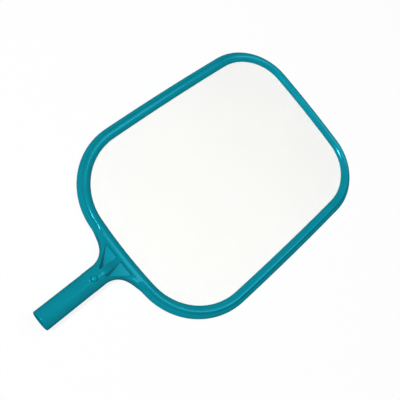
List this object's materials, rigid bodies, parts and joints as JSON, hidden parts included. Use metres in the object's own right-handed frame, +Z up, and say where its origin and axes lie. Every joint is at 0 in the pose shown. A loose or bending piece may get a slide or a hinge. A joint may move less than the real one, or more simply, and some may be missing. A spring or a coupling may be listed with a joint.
{
  "type": "leaf skimmer net",
  "caption": "Flat pool leaf skimmer: a rounded plastic hoop holding a fine net, on a hollow handle stub with sprung snap buttons.",
  "frame": {"origin": "under the middle of the whole part, on the hoop's flat underside", "axes": "+Z up from the hoop's underside, +Y along the handle's axis from the handle towards the hoop's far edge, +X across"},
  "size_m": [0.306, 0.528, 0.0363],
  "materials": {
    "frame_plastic": "moulded, glossy, teal",
    "ring_plastic": "moulded, glossy, teal",
    "net": "fine woven monofilament, white",
    "hem_tape": "woven tape, white",
    "cord": "soft piping, white",
    "screws": "stainless",
    "spring_steel": "stainless strip",
    "button_plastic": "moulded, glossy, teal"
  },
  "bodies": {
    "skimmer": {"main_frame": "frame_plastic", "back_ring": "ring_plastic", "net_mesh": "net", "net_hem": "hem_tape", "net_cord": "cord", "ring_screws": "screws", "clip_bend": "spring_steel", "upper_clip_arm": "spring_steel", "lower_clip_arm": "spring_steel"},
    "upper_snap": {"upper_button": "button_plastic"},
    "lower_snap": {"lower_button": "button_plastic"}
  },
  "joints": [
    {"name": "upper_button_press", "type": "slide", "parent": "skimmer", "child": "upper_snap", "axis": [0, 0, -1], "range_m": [0, 0.0037], "stiffness_N_per_m": 2500, "springref_m": -0.002, "deforming": ["upper_clip_arm"]},
    {"name": "lower_button_press", "type": "slide", "parent": "skimmer", "child": "lower_snap", "axis": [0, 0, 1], "range_m": [0, 0.0037], "stiffness_N_per_m": 2500, "springref_m": -0.002, "deforming": ["lower_clip_arm"]}
  ]
}
